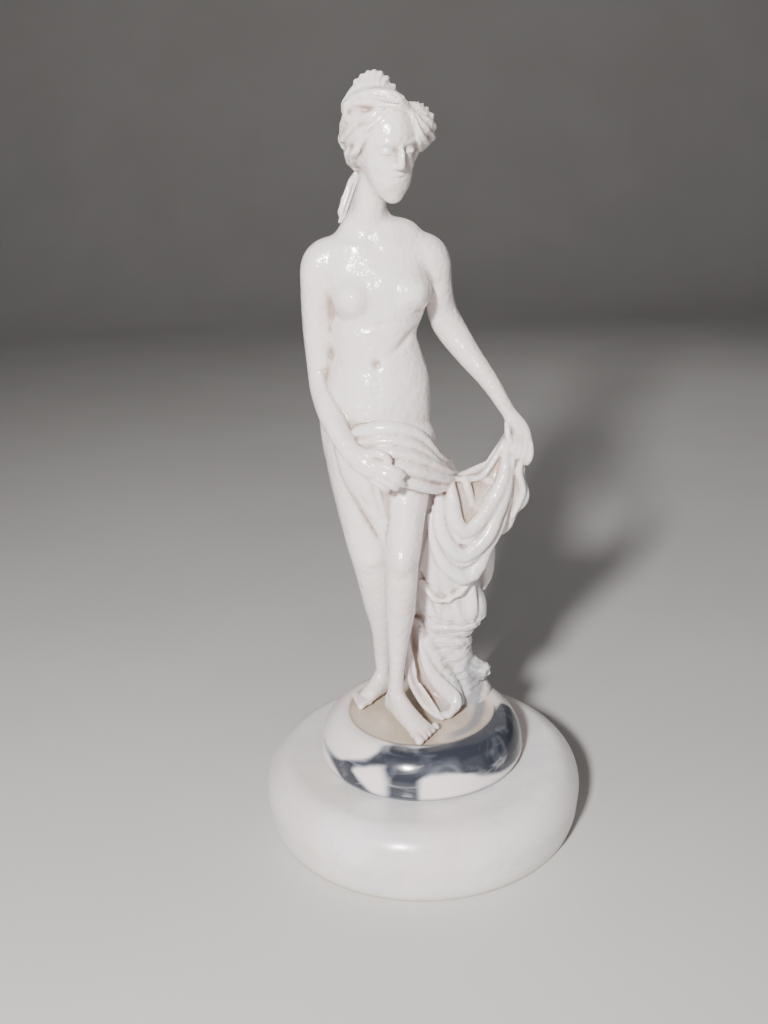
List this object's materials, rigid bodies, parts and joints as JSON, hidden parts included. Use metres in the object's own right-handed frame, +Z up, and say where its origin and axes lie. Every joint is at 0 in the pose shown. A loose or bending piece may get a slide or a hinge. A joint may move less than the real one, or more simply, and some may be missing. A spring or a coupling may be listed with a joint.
{
  "type": "goddess statuette",
  "caption": "Standing classical goddess in a gathered hip drape, cast with a round marbled plinth and set on a turned alabaster disc.",
  "frame": {"origin": "centre of the underside of the alabaster base", "axes": "+Z up; the figure faces -Y; +X is the viewer's right, the side of the outstretched arm and tree stump"},
  "size_m": [0.09, 0.09, 0.1998],
  "materials": {
    "cast_marble": "glossy ivory cast marble resin, veined slate grey on the plinth",
    "alabaster": "polished, slightly cloudy white alabaster"
  },
  "bodies": {
    "root": {"statuette": "cast_marble", "alabaster_base": "alabaster"}
  },
  "joints": []
}
